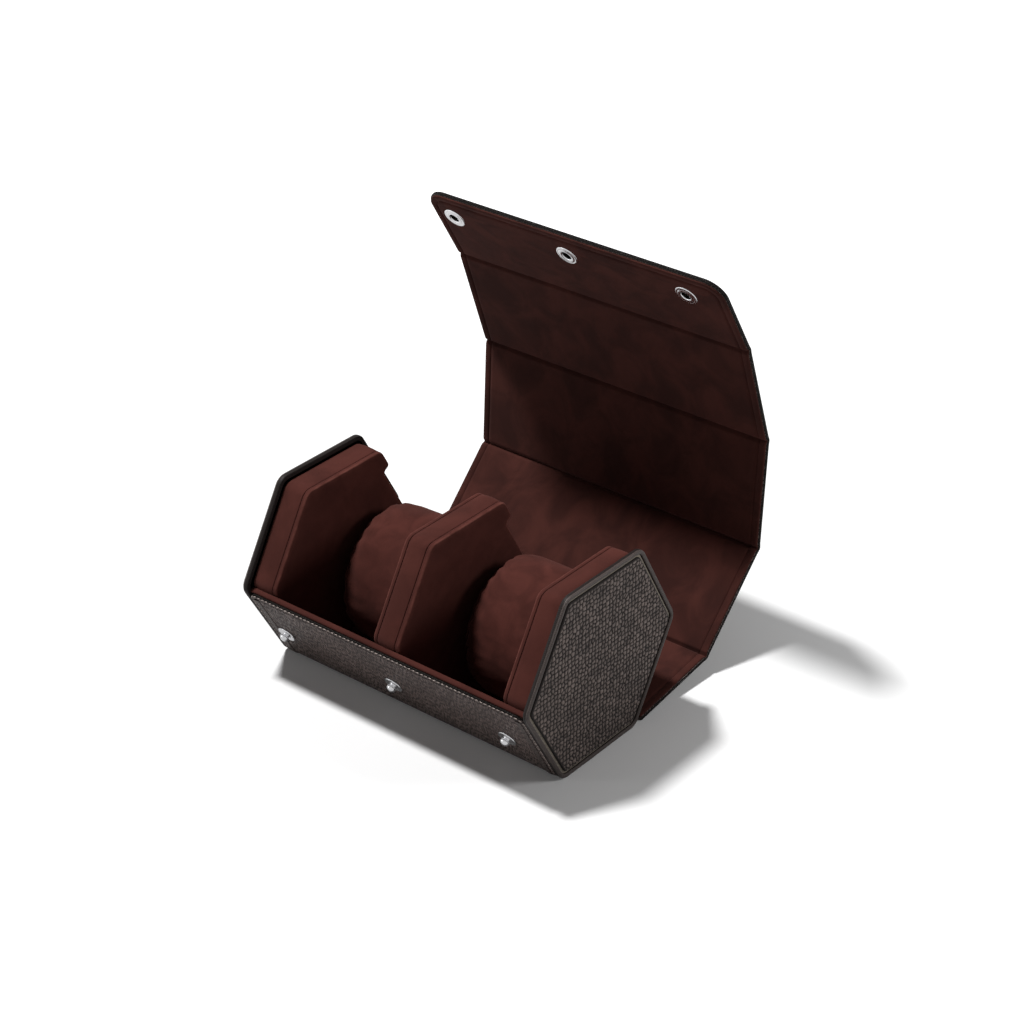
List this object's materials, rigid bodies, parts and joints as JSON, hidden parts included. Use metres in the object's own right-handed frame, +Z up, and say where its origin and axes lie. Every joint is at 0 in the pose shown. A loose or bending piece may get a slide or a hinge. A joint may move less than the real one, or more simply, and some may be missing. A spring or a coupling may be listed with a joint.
{
  "type": "watch travel case",
  "caption": "Hexagonal leather travel roll with soft watch pillows, a padded divider and a wrapping lid that closes with press snaps.",
  "frame": {"origin": "middle of the face that the closed or open case rests on", "axes": "+X along the case's length to the right seen from the front, +Y to the back where the lid hinges, +Z up"},
  "size_m": [0.147, 0.1576, 0.178],
  "materials": {
    "grained_leather": "dark brown grained leather, semi-matt",
    "smooth_leather": "dark brown smooth edge leather, satin",
    "board": "bare fibreboard, hidden",
    "cushion_suede": "burgundy brown suede, napped",
    "pillow_suede": "burgundy brown suede, napped, padded",
    "lining_suede": "dark burgundy suede lining, napped",
    "nickel": "polished nickel"
  },
  "bodies": {
    "tray": {"end_plate_left": "smooth_leather", "end_plate_right": "smooth_leather", "end_board_left": "board", "end_board_right": "board", "end_inlay_left": "grained_leather", "end_inlay_right": "grained_leather", "end_cushion_left": "cushion_suede", "end_cushion_right": "cushion_suede", "end_face_left": "cushion_suede", "end_face_right": "cushion_suede", "divider_core": "cushion_suede", "divider_face_left": "cushion_suede", "divider_face_right": "cushion_suede", "base_wrap": "grained_leather", "front_board": "board", "bottom_board": "board", "front_liner": "cushion_suede", "bottom_liner": "cushion_suede", "back_wall": "cushion_suede", "back_liner": "cushion_suede", "snap_studs": "nickel", "snap_posts": "nickel", "pillow_left": "pillow_suede", "pillow_right": "pillow_suede"},
    "lower_back_panel": {"lower_back_leather": "grained_leather", "lower_back_board": "board", "lower_back_lining": "lining_suede"},
    "upper_back_panel": {"upper_back_leather": "grained_leather", "upper_back_board": "board", "upper_back_lining": "lining_suede"},
    "top_panel": {"top_leather": "grained_leather", "top_board": "board", "top_lining": "lining_suede"},
    "upper_front_panel": {"upper_front_leather": "grained_leather", "upper_front_board": "board", "upper_front_lining": "lining_suede"},
    "snap_flap": {"flap_leather": "grained_leather", "flap_board": "board", "flap_lining": "lining_suede", "snap_sockets": "nickel", "snap_caps": "nickel"}
  },
  "joints": [
    {"name": "lid_hinge", "type": "hinge", "parent": "tray", "child": "lower_back_panel", "pos_m": [0, 0.02677, 0.0014], "axis": [1, 0, 0], "range_deg": [-6, 52]},
    {"name": "upper_back_crease", "type": "hinge", "parent": "lower_back_panel", "child": "upper_back_panel", "pos_m": [0, 0.0727, 0.00786], "axis": [1, 0, 0], "range_deg": [-2.59, 22]},
    {"name": "top_crease", "type": "hinge", "parent": "upper_back_panel", "child": "top_panel", "pos_m": [0, 0.10741, 0.0438], "axis": [1, 0, 0], "range_deg": [-2.13, 18]},
    {"name": "upper_front_crease", "type": "hinge", "parent": "top_panel", "child": "upper_front_panel", "pos_m": [0, 0.10915, 0.09373], "axis": [1, 0, 0], "range_deg": [-22.5, 37.5]},
    {"name": "flap_crease", "type": "hinge", "parent": "upper_front_panel", "child": "snap_flap", "pos_m": [0, 0.09125, 0.14161], "axis": [1, 0, 0], "range_deg": [-11.5, 48.5]}
  ],
  "couplings": [
    {"joint": "upper_back_crease", "follows": "lid_hinge", "ratio": 0.42308},
    {"joint": "top_crease", "follows": "lid_hinge", "ratio": 0.34615}
  ]
}
